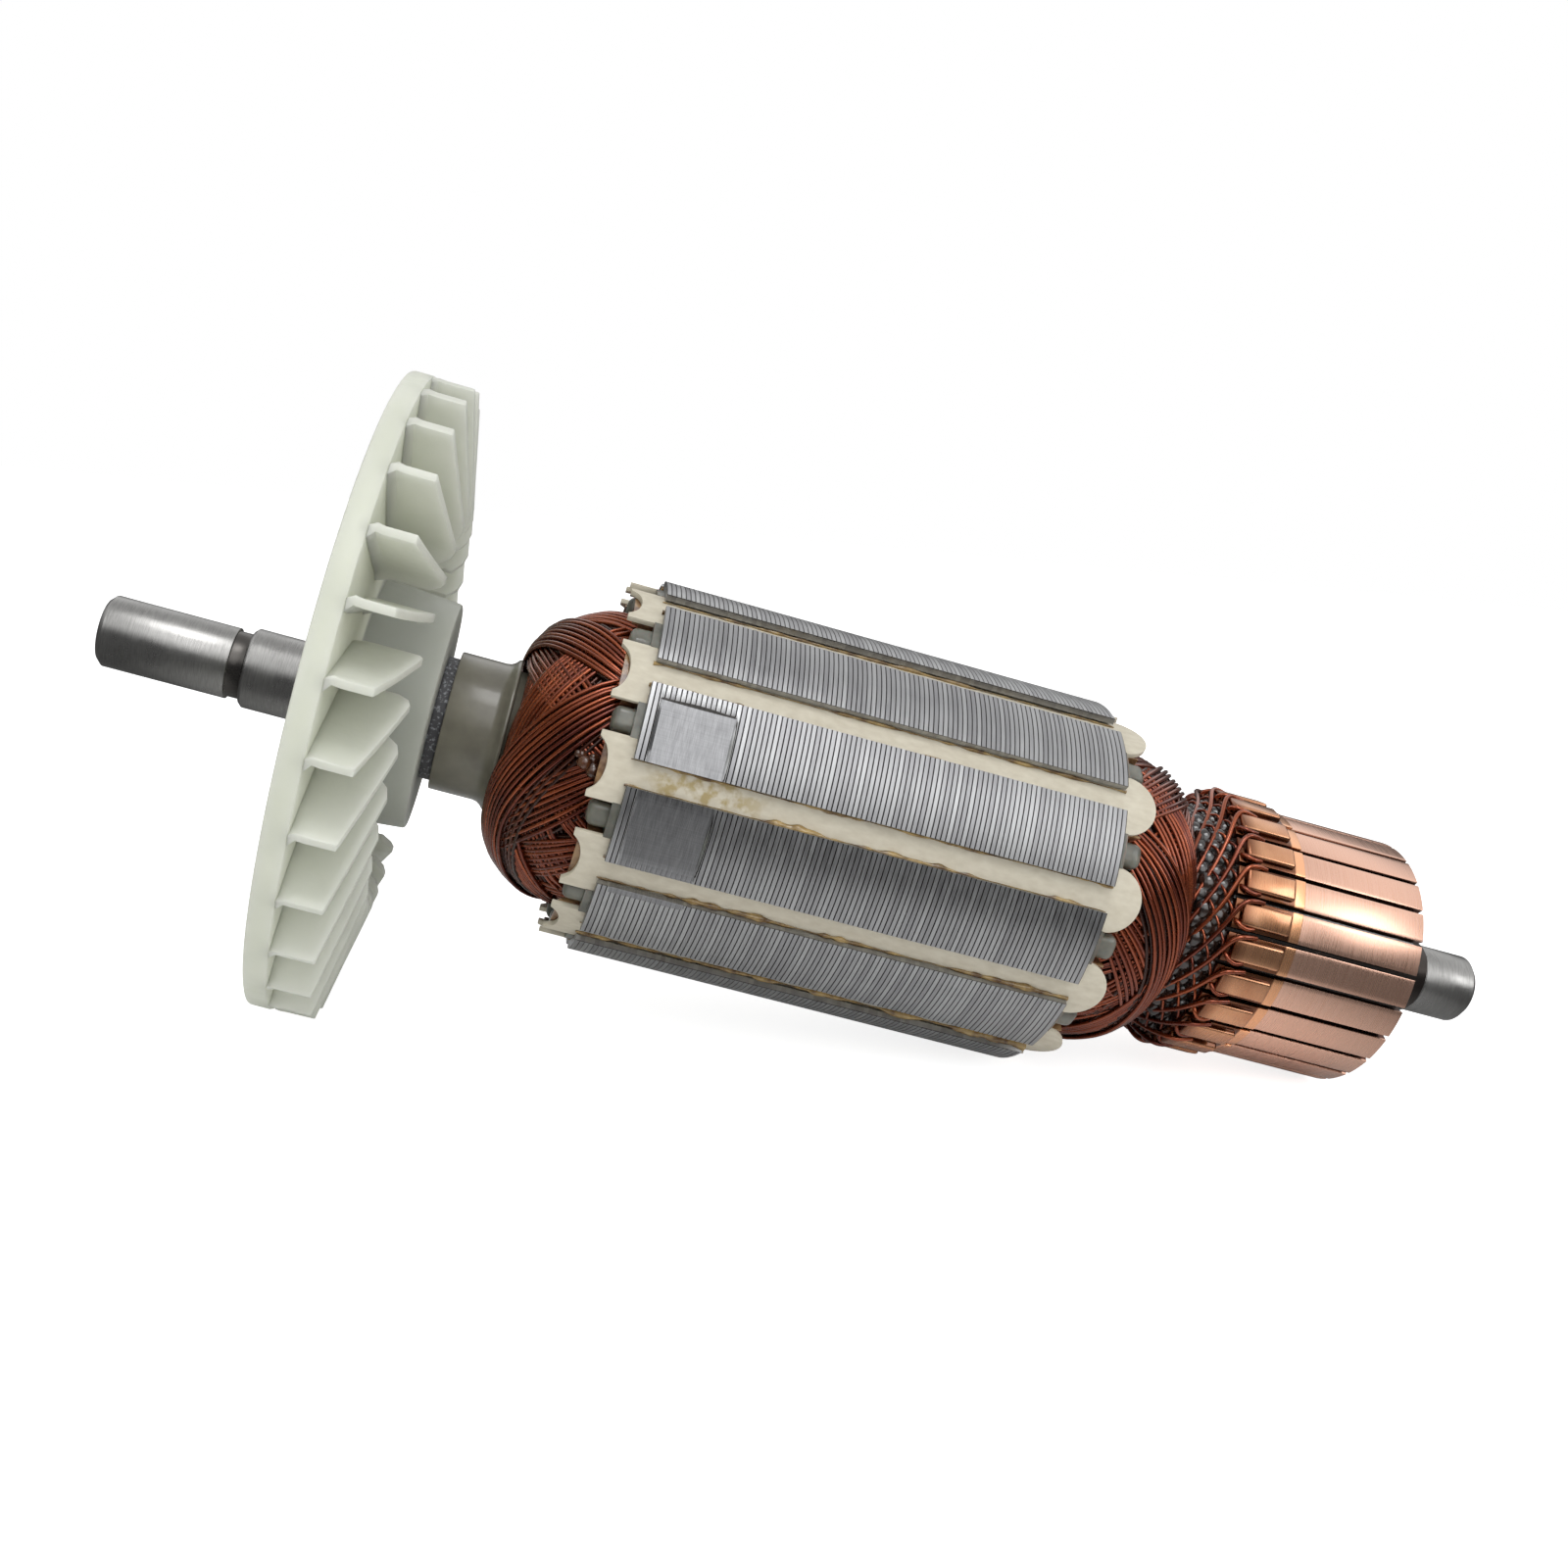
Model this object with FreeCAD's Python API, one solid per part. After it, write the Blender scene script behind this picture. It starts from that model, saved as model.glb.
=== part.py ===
import FreeCAD
import Part
import math
import os

# Wound armature of a universal motor. Millimetres, +Z up.
# Everything is built along the shaft first: x runs from the drive end to the commutator end,
# x = 0 is the drive-side face of the core, and angles turn about the shaft from +Y towards +Z.
# At the end the whole armature is laid down on its fan and its commutator, as it rests on a bench.

# Shaft
stub_dia = 8.0
stub_length = 14.2
groove_dia = 7.4
groove_width = 1.6
seat_dia = 9.0
seat_length = 10.2
body_dia = 10.0
collar_dia = 8.6
journal_dia = 8.0
journal_length = 6.9
journal_reach = 14.9
shaft_chamfer = 0.6
seat_chamfer = 0.4

# Fan, spacer ring and insulating sleeve, stacked on the shaft towards the core
fan_dia = 71.4
plate_thick = 2.5
blade_count = 30
blade_thick = 0.9
blade_outer_height = 4.5
blade_peak_height = 7.15
blade_peak_radius = 22.6
blade_inner_inset = 2.2
blade_inner_drop = 1.55
blade_root_depth = 0.5
blade_sweep = 12.4
blade_bow_depth = 0.9
hub_nose_radius = 12.9
hub_base_radius = 13.6
hub_height = 8.5
hub_chamfer = 0.5
plate_chamfer = 0.4
ring_dia = 14.0
ring_width = 1.3
sleeve_dia = 15.8
collar_length = 5.6
flare_radius = 8.7
flare_width = 0.8
sleeve_gap_to_core = 13.3
sleeve_head_radius = 7.5
sleeve_core_radius = 6.4

# Core of stamped sheets
core_length = 51.4
core_dia = 42.8
slot_count = 12
tooth_half_angle = 11.13
lip_depth = 0.7
lip_slope = 0.3
tooth_width = 3.8
slot_floor_radius = 11.4
flat_depth = 0.35
flat_length = 7.9
flat_start = 1.3
scallop_depth = 0.15

# Milled teeth: the tooth, the cut's depth, the cutter's turn from the tooth's middle and the
# share of its width that cuts
milled_teeth = (
    (5, flat_depth, 2.5, 1.0), (6, flat_depth, 0.0, 1.0), (7, scallop_depth, -16.0, 0.5))

# Insulation round the windings
end_plate_thick = 0.8
stub_post_length = 3.0
stub_post_width = 2.7
stub_post_depth = 2.4
stub_post_drop = 1.6
liner_thick = 0.25
liner_overhang = 2.4
wedge_thick = 0.6
wedge_clearance = 0.05
wedge_overhang = 3.7
wedge_tail_depth = 1.5
wedge_notch_share = 0.4
wedge_nose_turns = (45, 0, -45)

# Windings
coil_span = 5
layer_gap = 0.4
coil_clearance = 0.12
coil_gap_angle = 3.4
bundle_thick = 2.0
bundle_fill = 0.8
drive_head_reach = 12.3
drive_crown_radius = 16.3
drive_nose_radius = 10.2
far_head_reach = 14.0
far_crown_radius = 16.8
far_nose_radius = 11.6

crown_fall_height = 1.6
nose_rise_height = 2.7
nose_fall_height = 1.2
inner_fall_height = 0.4

# Middle line of a winding head between its slots: the share of its reach, the radius it is
# measured from and the step from that radius
head_path = (
    (0.42, "crown", 0.0), (0.70, "crown", -crown_fall_height), (0.92, "nose", nose_rise_height),
    (0.88, "nose", -nose_fall_height), (0.50, "nose", -inner_fall_height))
post_clearance = 0.1
head_foot_drop = 0.7

# Commutator
commutator_dia = 29.1
bar_count = 24
bar_gap_angle = 2.0
bar_length = 22.1
bar_floor_radius = 10.2
track_length = 14.3
unturned_extra = 0.2
commutator_offset = 16.7
rib_drop = 0.7
rib_width = 0.34
hook_width = 2.5
hook_length = 6.4
hook_rise = 1.0
hook_lead = 0.8
hook_foot_depth = 1.6
hook_bend = 0.5
body_inset = 0.6
rib_root = 0.5
cone_radius = 11.6
cone_top_radius = 12.6
cone_length = 2.5

# Single leads from the windings to the hooks
lead_dia = 0.46
lead_twist = 18.0
lead_clearance = 0.04
lead_foot_lift = 0.6
lead_rise_share = 0.6
lead_rise_angle = 5.4
lead_hook_share = 0.3

# Angles of the first blade corner, tooth and commutator gap about the shaft
blade_phase = 0.0
tooth_phase = 6.27
bar_gap_phase = 5.52

# Places along the shaft
sleeve_left = -(sleeve_gap_to_core + flare_width + collar_length)
ring_left = sleeve_left - ring_width
plate_front = ring_left - hub_height
fan_back = plate_front - plate_thick
seat_left = fan_back - seat_length
groove_left = seat_left - groove_width
stub_left = groove_left - stub_length
bars_left = core_length + commutator_offset
bars_right = bars_left + bar_length
body_right = bars_right - body_inset
journal_right = bars_right + journal_reach
journal_left = journal_right - journal_length
over = 1.0

core_radius = core_dia / 2
fan_radius = fan_dia / 2
bar_radius = commutator_dia / 2
slot_pitch = 360.0 / slot_count
bar_pitch = 360.0 / bar_count
neck_radius = core_radius - lip_depth - lip_slope
wedge_outer_radius = neck_radius - wedge_clearance
wedge_inner_radius = wedge_outer_radius - wedge_thick
wedge_mouth_angle = math.radians(slot_pitch / 2) - math.asin(tooth_width / 2 / wedge_inner_radius)
wedge_half_width = wedge_inner_radius * math.sin(wedge_mouth_angle) - wedge_clearance
wedge_inner_height = math.sqrt(wedge_outer_radius ** 2 - wedge_half_width ** 2) - wedge_thick
X_AXIS = FreeCAD.Vector(1, 0, 0)
ORIGIN = FreeCAD.Vector(0, 0, 0)


def polar(x, radius, angle):
    """Point at a place along the shaft, a radius and an angle about it."""
    turn = math.radians(angle)
    return FreeCAD.Vector(x, radius * math.cos(turn), radius * math.sin(turn))


def turned(shape, angle):
    """Copy of a shape turned about the shaft."""
    copy = shape.copy()
    copy.rotate(ORIGIN, X_AXIS, angle)
    return copy


def ring_of(shape, count, phase=0.0):
    """Copies of a shape, evenly spaced about the shaft."""
    return [turned(shape, phase + 360.0 * i / count) for i in range(count)]


def lathe(outline, start=0.0, sweep=360.0):
    """Solid turned from an outline of (x, radius) points."""
    points = [FreeCAD.Vector(x, r, 0) for x, r in outline]
    face = Part.Face(Part.makePolygon(points + [points[0]]))
    return turned(face.revolve(ORIGIN, X_AXIS, sweep), start)


def tube(x_left, x_right, inner, outer):
    return lathe([(x_left, inner), (x_right, inner), (x_right, outer), (x_left, outer)])


def make_shaft():
    c = shaft_chamfer
    k = seat_chamfer
    stub = stub_dia / 2
    groove = groove_dia / 2
    seat = seat_dia / 2
    body = body_dia / 2
    collar = collar_dia / 2
    journal = journal_dia / 2
    return lathe([
        (stub_left, 0), (stub_left, stub - c), (stub_left + c, stub),
        (groove_left, stub), (groove_left, groove), (seat_left, groove),
        (seat_left, seat - k), (seat_left + k, seat), (fan_back, seat), (fan_back, body),
        (body_right, body), (body_right, collar), (journal_left, collar), (journal_left, journal),
        (journal_right - c, journal), (journal_right, journal - c), (journal_right, 0)])


def blade_plan(radius):
    """Angle of the blade's middle line at a radius: a swept line with a slight bow."""
    run = (fan_radius - radius) / (fan_radius - blade_peak_radius)
    bow = math.degrees(4 * blade_bow_depth * run * (1 - run) / radius) if run < 1 else 0.0
    return -blade_sweep * run + bow


def make_blade():
    """One upright vane, skinned through upright sections from the rim to its inner edge."""
    half = blade_thick / 2
    middle_radius = (fan_radius + blade_peak_radius) / 2
    middle_height = (blade_outer_height + blade_peak_height) / 2
    free_edge = [
        (fan_radius, blade_outer_height), (middle_radius, middle_height),
        (blade_peak_radius, blade_peak_height),
        (blade_peak_radius - blade_inner_inset, blade_peak_height - blade_inner_drop)]
    sections = []
    for radius, height in free_edge:
        angle = blade_plan(radius)
        lean = math.degrees(math.asin(half / radius))
        foot = plate_front - blade_root_depth
        top = plate_front + height
        sections.append([polar(foot, radius, angle - lean), polar(top, radius, angle - lean),
                         polar(top, radius, angle + lean), polar(foot, radius, angle + lean)])
    return skin(sections, False)


def make_fan():
    bore = body_dia / 2
    plate = lathe([
        (fan_back, bore), (ring_left, bore), (ring_left, hub_nose_radius - hub_chamfer),
        (ring_left - hub_chamfer, hub_nose_radius), (plate_front, hub_base_radius),
        (plate_front, fan_radius), (fan_back + plate_chamfer, fan_radius),
        (fan_back, fan_radius - plate_chamfer)])
    return plate.fuse(ring_of(make_blade(), blade_count, blade_phase)).removeSplitter()


def make_spacer_ring():
    return tube(ring_left, sleeve_left, body_dia / 2, ring_dia / 2)


def make_sleeve():
    collar = sleeve_dia / 2
    flare_left = sleeve_left + collar_length
    flare_right = flare_left + flare_width
    far_end = bars_left - cone_length
    return lathe([
        (sleeve_left, body_dia / 2), (sleeve_left, collar), (flare_left, collar),
        (flare_right, flare_radius), (flare_right, sleeve_head_radius),
        (-end_plate_thick, sleeve_head_radius), (-end_plate_thick, sleeve_core_radius),
        (far_end, sleeve_core_radius), (far_end, body_dia / 2)])


def tooth_flank(radius, grow=0.0):
    """Angle from a tooth's middle to its flank at a radius, with the flank moved out by grow."""
    return math.degrees(math.asin((tooth_width / 2 + grow) / radius))


def slot_half_angle(radius, inset=0.0):
    """Angle from a slot's middle to its wall at a radius, with the wall moved in by inset."""
    return slot_pitch / 2 - tooth_flank(radius, inset)


def toothed_wheel(tip_radius, lips):
    """Face across all the teeth, with or without the lips that hold the wedges."""
    edges = []
    flank_top = tooth_flank(neck_radius)
    flank_foot = tooth_flank(slot_floor_radius)
    for i in range(slot_count):
        middle = tooth_phase + i * slot_pitch
        half = tooth_half_angle if lips else tooth_flank(tip_radius)
        sides = []
        for sign in (1, -1):
            side = [polar(0, tip_radius, middle + sign * half)]
            if lips:
                side.append(polar(0, core_radius - lip_depth, middle + sign * half))
                side.append(polar(0, neck_radius, middle + sign * flank_top))
            side.append(polar(0, slot_floor_radius, middle + sign * flank_foot))
            sides.append(side)
        if lips:
            tip = Part.Arc(sides[0][0], polar(0, tip_radius, middle), sides[1][0])
        else:
            tip = Part.LineSegment(sides[0][0], sides[1][0])
        edges.append(tip.toShape())
        for side in sides:
            for a, b in zip(side, side[1:]):
                edges.append(Part.LineSegment(a, b).toShape())
        next_foot = polar(0, slot_floor_radius, middle + slot_pitch - flank_foot)
        edges.append(Part.LineSegment(sides[0][-1], next_foot).toShape())
    return Part.Face(Part.Wire(Part.__sortEdges__(edges)))


def make_core():
    stack = toothed_wheel(core_radius, True).extrude(FreeCAD.Vector(core_length, 0, 0))
    core = stack.cut(tube(-over, core_length + over, 0.0, sleeve_core_radius))
    return core.cut(make_balance_cuts())


def make_balance_cuts():
    """Two flats and a narrow facet on a tooth's edge, milled to balance the armature."""
    cuts = []
    for tooth, depth, turn, share in milled_teeth:
        block = Part.makeBox(flat_length, share * core_dia / 2, core_radius)
        block.translate(FreeCAD.Vector(flat_start, -core_dia / 4, core_radius - depth))
        cuts.append(turned(block, tooth_phase + tooth * slot_pitch + turn - 90))
    return Part.makeCompound(cuts)


def make_end_insulator(face_x, direction):
    """Star plate on one end of the core, with a post under each tooth tip that holds the coils."""
    low = min(face_x, face_x + direction * end_plate_thick)
    post_low = min(face_x, face_x + direction * stub_post_length)
    star = toothed_wheel(neck_radius, False).extrude(FreeCAD.Vector(end_plate_thick, 0, 0))
    star.translate(FreeCAD.Vector(low, 0, 0))
    star = star.cut(tube(low - over, low + end_plate_thick + over, 0.0, sleeve_core_radius))
    post_foot = core_radius - stub_post_drop - stub_post_depth
    post = Part.makeBox(stub_post_length, stub_post_depth, stub_post_width)
    post.translate(FreeCAD.Vector(post_low, post_foot, -stub_post_width / 2))
    return star.fuse(ring_of(post, slot_count, tooth_phase)).removeSplitter()


def slot_angle(i):
    return tooth_phase + slot_pitch / 2 + i * slot_pitch


def channel_corners(x, middle, inset):
    """Corners of a slot's section, mouth, floor, floor and mouth, with its walls moved in."""
    floor = slot_floor_radius + inset
    floor_half = slot_half_angle(floor, inset)
    lean = math.radians(slot_pitch / 2)
    wall = (wedge_inner_height * math.sin(lean) - tooth_width / 2 - inset) / math.cos(lean)
    mouth = math.hypot(wedge_inner_height, wall)
    mouth_half = math.degrees(math.atan2(wall, wedge_inner_height))
    return [polar(x, mouth, middle - mouth_half), polar(x, floor, middle - floor_half),
            polar(x, floor, middle + floor_half), polar(x, mouth, middle + mouth_half)]


def make_liners():
    """U-shaped sheets that line the slots."""
    liners = []
    for i in range(slot_count):
        outer = channel_corners(-liner_overhang, slot_angle(i), 0.0)
        inner = channel_corners(-liner_overhang, slot_angle(i), liner_thick)
        loop = outer + inner[::-1]
        face = Part.Face(Part.makePolygon(loop + [loop[0]]))
        liners.append(face.extrude(FreeCAD.Vector(core_length + 2 * liner_overhang, 0, 0)))
    return Part.makeCompound(liners)


def make_wedge():
    """Flat strip that closes a slot: fish-tailed at the drive end, round-nosed at the other."""
    half = wedge_half_width
    left = -wedge_overhang
    nose = core_length + wedge_overhang - half
    tail = left + wedge_tail_depth
    outline = [(left, half), (nose, half)]
    for turn in wedge_nose_turns:
        lean = math.radians(turn)
        outline.append((nose + half * math.cos(lean), half * math.sin(lean)))
    outline += [(nose, -half), (left, -half), (tail, -wedge_notch_share * half),
                (tail, wedge_notch_share * half)]
    corners = [FreeCAD.Vector(x, wedge_inner_height, z) for x, z in outline]
    plan = Part.Face(Part.makePolygon(corners + [corners[0]]))
    return plan.extrude(FreeCAD.Vector(0, wedge_thick, 0))


# The two coil sides in a slot share its depth, with a gap between the layers
layer_floor = slot_floor_radius + liner_thick
layer_thick = (wedge_inner_radius - layer_floor - layer_gap) / 2 - coil_clearance
upper_radius = wedge_inner_radius - coil_clearance - layer_thick / 2
lower_radius = layer_floor + coil_clearance + layer_thick / 2


def head_profile(reach, crown, nose):
    """Middle line of a winding head as (distance from the core, radius): out over the crown,
    round the nose by the shaft and back along the inner layer."""
    clear = stub_post_length + post_clearance
    base = {"crown": crown, "nose": nose}
    path = [(share * reach, base[name] + step) for share, name, step in head_path]
    start = [(0.0, upper_radius), (clear, (upper_radius + crown) / 2)]
    return start + path + [(clear, lower_radius - head_foot_drop), (0.0, lower_radius)]


def coil_section(x, radius, angle, across, halves):
    """Corners of a bundle: the outer pair and the inner pair, across = half its thickness."""
    return [polar(x + across[0], radius + across[1], angle - halves[0]),
            polar(x + across[0], radius + across[1], angle + halves[0]),
            polar(x - across[0], radius - across[1], angle + halves[1]),
            polar(x - across[0], radius - across[1], angle - halves[1])]


def head_sections(profile, face_x, direction):
    """Sections of one winding head, from the upper side's slot round to the lower side's."""
    sweep = coil_span * slot_pitch
    count = len(profile)
    sections = []
    for i, (reach, radius) in enumerate(profile):
        in_slot = i < 2 or i > count - 3
        thick = layer_thick / 2 if i in (0, count - 1) else bundle_thick / 2
        before = profile[max(i - 1, 0)]
        after = profile[min(i + 1, count - 1)]
        run = after[0] - before[0]
        climb = after[1] - before[1]
        half = bundle_fill * (slot_pitch - coil_gap_angle) / 2
        halves = (half, half)
        if in_slot:
            run = 1.0 if i < 2 else -1.0
            climb = 0.0
            slot_inset = liner_thick + coil_clearance
            side_radius = upper_radius if i < 2 else lower_radius
            halves = (slot_half_angle(side_radius + run * thick, slot_inset),
                      slot_half_angle(side_radius - run * thick, slot_inset))
        size = math.hypot(run, climb)
        share = min(max((i - 1) / (count - 3), 0.0), 1.0)
        across = (-direction * climb / size * thick, run / size * thick)
        sections.append(coil_section(
            face_x + direction * reach, radius, sweep * share, across, halves))
    return sections


def skin(sections, closed):
    """Solid through sections with equal corner counts, either a closed loop or capped."""
    faces = []
    count = len(sections)
    corners = len(sections[0])
    for i in range(count if closed else count - 1):
        here = sections[i]
        there = sections[(i + 1) % count]
        for j in range(corners):
            k = (j + 1) % corners
            faces.append(Part.Face(Part.makePolygon([here[j], here[k], there[k], here[j]])))
            faces.append(Part.Face(Part.makePolygon([here[j], there[k], there[j], here[j]])))
    if not closed:
        for cap in (sections[0], sections[-1]):
            for j in range(1, corners - 1):
                faces.append(Part.Face(Part.makePolygon([cap[0], cap[j], cap[j + 1], cap[0]])))
    shell = Part.makeShell(faces)
    shell.sewShape()
    solid = Part.makeSolid(shell)
    if solid.Volume < 0:
        solid.reverse()
    return solid


def make_coil():
    """One coil: the upper side in its slot, the lower side five slots on, and both heads."""
    drive = head_profile(drive_head_reach, drive_crown_radius, drive_nose_radius)
    far = head_profile(far_head_reach, far_crown_radius, far_nose_radius)
    return skin(head_sections(drive, 0.0, -1) + head_sections(far, core_length, 1)[::-1], True)


def bar_block(x_left, x_right, radius):
    """Bar with a round outer face at a radius and a flat inner face on the body."""
    half = (bar_pitch - bar_gap_angle) / 2
    foot = bar_floor_radius / math.cos(math.radians(half))
    corners = [polar(x_left, radius, half), polar(x_left, foot, half),
               polar(x_left, foot, -half), polar(x_left, radius, -half)]
    arc = Part.Arc(corners[0], polar(x_left, radius, 0), corners[3]).toShape()
    face = Part.Face(Part.Wire([Part.makePolygon(corners), arc]))
    return face.extrude(FreeCAD.Vector(x_right - x_left, 0, 0))


def make_bar():
    """One copper bar with the unturned step and the folded hook that holds its lead."""
    track_left = bars_right - track_length
    bar = bar_block(bars_left, bars_right, bar_radius)
    bar = bar.fuse(bar_block(bars_left, track_left, bar_radius + unturned_extra))
    top = bar_radius + hook_rise
    left = bars_left - hook_lead
    foot = bar_radius - hook_foot_depth
    outline = [
        FreeCAD.Vector(bars_left, foot, 0), FreeCAD.Vector(left, foot + hook_lead, 0),
        FreeCAD.Vector(left, top - hook_bend, 0), FreeCAD.Vector(left + hook_bend, top, 0),
        FreeCAD.Vector(left + hook_length, top, 0), FreeCAD.Vector(left + hook_length, bar_radius, 0),
        FreeCAD.Vector(bars_left, bar_radius, 0)]
    face = Part.Face(Part.makePolygon(outline + [outline[0]]))
    hook = face.extrude(FreeCAD.Vector(0, 0, hook_width))
    hook.translate(FreeCAD.Vector(0, 0, -hook_width / 2))
    return bar.fuse(hook).removeSplitter()


def make_commutator_body():
    """Moulded body that holds the bars, with a rib between each pair and a cone for the leads."""
    cone_left = bars_left - cone_length
    cone = lathe([
        (cone_left, body_dia / 2), (cone_left, cone_radius), (bars_left, cone_top_radius),
        (bars_left, body_dia / 2)])
    corner_radius = bar_floor_radius / math.cos(math.radians(bar_pitch / 2))
    corners = [polar(bars_left, corner_radius, bar_gap_phase + bar_pitch * i)
               for i in range(bar_count + 1)]
    prism = Part.Face(Part.makePolygon(corners)).extrude(FreeCAD.Vector(body_right - bars_left, 0, 0))
    prism = prism.cut(tube(bars_left - over, body_right + over, 0.0, body_dia / 2))
    rib_foot = bar_floor_radius - rib_root
    rib = Part.makeBox(body_right - bars_left, bar_radius - rib_drop - rib_foot, rib_width)
    rib.translate(FreeCAD.Vector(bars_left, rib_foot, -rib_width / 2))
    return cone.fuse([prism] + ring_of(rib, bar_count, bar_gap_phase)).removeSplitter()


def make_leads():
    """Single wires from the waist of the winding, past the back of each hook, to its flank."""
    r = lead_dia / 2
    leads = []
    step = bar_radius + unturned_extra
    rest = step + r + lead_clearance
    beside = math.degrees((hook_width / 2 + r + lead_clearance) / rest)
    behind = bars_left - hook_lead - r - lead_clearance
    for i in range(bar_count):
        middle = bar_gap_phase + bar_pitch * (i + 0.5)
        route = [
            (bars_left - cone_length + r, cone_radius + lead_foot_lift, middle + lead_twist),
            (behind, cone_radius + lead_rise_share * (rest - cone_radius), middle + lead_rise_angle),
            (behind, rest, middle - beside),
            (bars_left + lead_hook_share * hook_length, rest, middle - beside)]
        sections = []
        for x, radius, angle in route:
            width = math.degrees(r / radius)
            sections.append([polar(x - r, radius + r, angle), polar(x, radius - r, angle + width),
                             polar(x, radius - r, angle - width)])
        leads.append(skin(sections, False))
    return Part.makeCompound(leads)


def bench_placement():
    """Lays the armature on two neighbouring blade corners and the end of the commutator."""
    blade_corner_x = plate_front + blade_outer_height
    fan_low = fan_radius * math.cos(math.pi / blade_count - math.asin(blade_thick / 2 / fan_radius))
    tilt = math.atan2(fan_low - bar_radius, bars_right - blade_corner_x)
    lift = blade_corner_x * math.sin(tilt) + fan_low * math.cos(tilt)
    end_radius = stub_dia / 2 - shaft_chamfer
    far_radius = journal_dia / 2 - shaft_chamfer
    x_low = stub_left * math.cos(tilt) - end_radius * math.sin(tilt)
    x_high = journal_right * math.cos(tilt) + far_radius * math.sin(tilt)
    turn = FreeCAD.Rotation(FreeCAD.Vector(0, 1, 0), math.degrees(tilt))
    return FreeCAD.Placement(FreeCAD.Vector(-(x_low + x_high) / 2, 0, lift), turn)


def export(shape, name):
    placed = shape.copy()
    placed.Placement = bench_placement().multiply(placed.Placement)
    placed.exportStep(f"parts/{name}.step")


def main():
    os.makedirs("parts", exist_ok=True)
    export(make_shaft(), "shaft")
    export(make_fan(), "cooling_fan")
    export(make_spacer_ring(), "fan_spacer_ring")
    export(make_sleeve(), "insulating_sleeve")
    export(make_core(), "laminated_core")
    export(make_end_insulator(0.0, -1), "end_insulator_drive_side")
    export(make_end_insulator(core_length, 1), "end_insulator_commutator_side")
    export(make_liners(), "slot_liners")
    wedge = make_wedge()
    coil = make_coil()
    for i in range(slot_count):
        export(turned(wedge, slot_angle(i)), f"slot_wedge_{i + 1:02d}")
        export(turned(coil, slot_angle(i)), f"coil_{i + 1:02d}")
    bar = make_bar()
    for i in range(bar_count):
        export(turned(bar, bar_gap_phase + bar_pitch * (i + 0.5)), f"commutator_bar_{i + 1:02d}")
    export(make_commutator_body(), "commutator_body")
    export(make_leads(), "coil_leads")


main()
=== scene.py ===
import math
import random
import bmesh
import bpy
from mathutils import Matrix, Vector, noise


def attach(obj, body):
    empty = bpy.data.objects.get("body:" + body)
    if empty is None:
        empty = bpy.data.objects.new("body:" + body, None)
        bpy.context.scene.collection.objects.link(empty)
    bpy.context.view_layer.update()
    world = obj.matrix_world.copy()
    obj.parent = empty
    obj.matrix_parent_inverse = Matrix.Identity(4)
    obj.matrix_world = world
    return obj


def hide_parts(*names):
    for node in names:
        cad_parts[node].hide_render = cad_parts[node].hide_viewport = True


# Wound armature of a universal motor, lying on its fan and its commutator.
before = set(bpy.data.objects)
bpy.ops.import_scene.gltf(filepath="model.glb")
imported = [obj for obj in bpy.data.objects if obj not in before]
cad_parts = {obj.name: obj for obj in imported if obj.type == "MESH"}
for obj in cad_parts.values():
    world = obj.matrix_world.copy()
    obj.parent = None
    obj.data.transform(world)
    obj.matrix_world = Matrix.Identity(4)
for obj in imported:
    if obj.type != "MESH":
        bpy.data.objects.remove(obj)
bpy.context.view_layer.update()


# Shaft: one ground steel bar with a stub, a groove, a bearing seat and a journal.
# It is turned and ground, and everything else is pressed on it. Pieces are shaped along the
# shaft in millimetres, with x = 0 at the core's drive side, and then laid down on the bench.
bench_tilt = math.radians(10.3304545)
bench_shift = Vector((-0.02316825, 0.0, 0.03048927))
bench = (Matrix.Translation(bench_shift) @ Matrix.Rotation(bench_tilt, 4, "Y")
         @ Matrix.Scale(0.001, 4))


def polar(x, radius, angle):
    """Point along the shaft, at a radius and an angle in degrees from +Y towards +Z."""
    turn = math.radians(angle)
    return Vector((x, radius * math.cos(turn), radius * math.sin(turn)))


def soften(bm, width, segments=2, over=30.0):
    """Rounds the edges whose faces meet at more than an angle."""
    edges = [e for e in bm.edges
             if len(e.link_faces) == 2 and e.calc_face_angle() > math.radians(over)]
    bmesh.ops.bevel(bm, geom=edges, offset=width, segments=segments, profile=0.5,
                    affect="EDGES", material=-1, clamp_overlap=True)


def lathed(outline, steps=96):
    """Closed form spun from an outline of (x, radius) corners."""
    bm = bmesh.new()
    corners = [bm.verts.new((x, r, 0.0)) for x, r in outline]
    ends = corners[1:] + corners[:1]
    edges = [bm.edges.new((a, b)) for a, b in zip(corners, ends)
             if a.co.y > 0 or b.co.y > 0]
    bmesh.ops.spin(bm, geom=corners + edges, cent=(0, 0, 0), axis=(1, 0, 0),
                   angle=2 * math.pi, steps=steps, use_merge=True)
    bmesh.ops.remove_doubles(bm, verts=bm.verts, dist=1e-4)
    return bm


def add_copy(bm, shape, spot=(0, 0, 0), angle=0.0):
    """Adds a shaped mesh to another, moved and then turned about the shaft."""
    known = set(bm.verts)
    bm.from_mesh(shape)
    added = [v for v in bm.verts if v not in known]
    bmesh.ops.translate(bm, vec=spot, verts=added)
    bmesh.ops.rotate(bm, cent=(0, 0, 0), verts=added,
                     matrix=Matrix.Rotation(math.radians(angle), 3, "X"))


def kept(bm, name):
    """Mesh with a shaped form, which is freed."""
    mesh = bpy.data.meshes.new(name)
    bm.to_mesh(mesh)
    bm.free()
    return mesh


def rounded_block(size, rounding, segments):
    """Block with rounded edges."""
    bm = bmesh.new()
    bmesh.ops.create_cube(bm, size=1.0)
    bmesh.ops.scale(bm, vec=size, verts=bm.verts)
    soften(bm, rounding, segments)
    return kept(bm, "block")


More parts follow.
